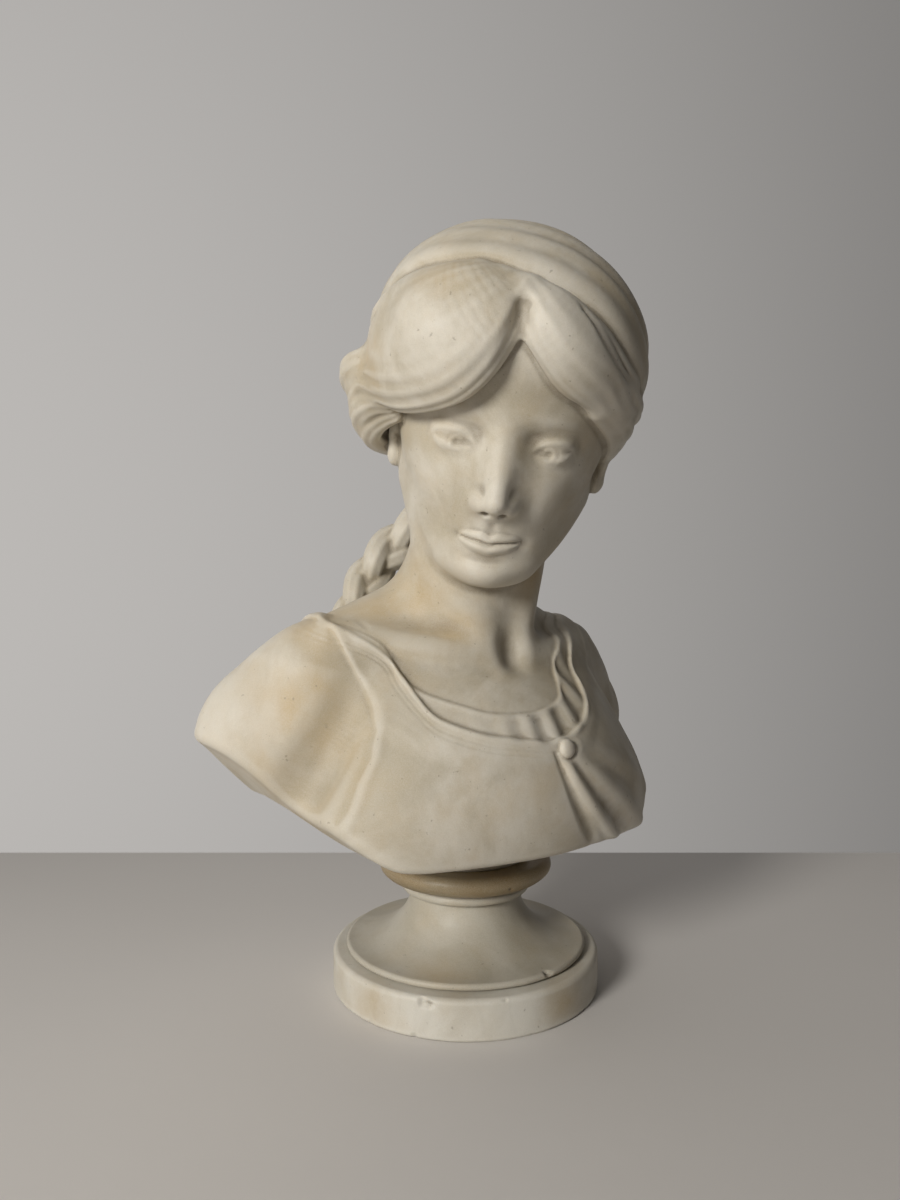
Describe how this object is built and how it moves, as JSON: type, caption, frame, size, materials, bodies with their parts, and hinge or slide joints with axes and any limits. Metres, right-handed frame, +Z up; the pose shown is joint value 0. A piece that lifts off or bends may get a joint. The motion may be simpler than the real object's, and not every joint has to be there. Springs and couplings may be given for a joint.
{
  "type": "marble bust",
  "caption": "Marble portrait bust of a young woman in a headscarf and sleeveless bodice, on a turned marble socle, held by a steel tie rod and free to swivel.",
  "frame": {"origin": "centre of the underside of the socle's drum, on the tie rod's axis", "axes": "+Z up along the tie rod; the chest faces -Y; +X is the sitter's left"},
  "size_m": [0.23, 0.1621, 0.3329],
  "materials": {
    "bust_marble": "satin",
    "honey_marble": "satin",
    "socle_marble": "satin",
    "drum_marble": "satin",
    "plaster": "matte",
    "steel": "satin"
  },
  "bodies": {
    "socle": {"socle_base": "drum_marble", "lower_bedding": "plaster", "socle_stem": "socle_marble", "upper_bedding": "plaster", "socle_cap": "honey_marble"},
    "bust": {"bust": "bust_marble", "rod_setting": "plaster", "tie_rod": "steel", "rod_washer": "steel", "rod_nut": "steel"}
  },
  "joints": [
    {"name": "swivel", "type": "hinge", "parent": "socle", "child": "bust", "pos_m": [0, 0, 0], "axis": [0, 0, 1], "continuous": true}
  ]
}
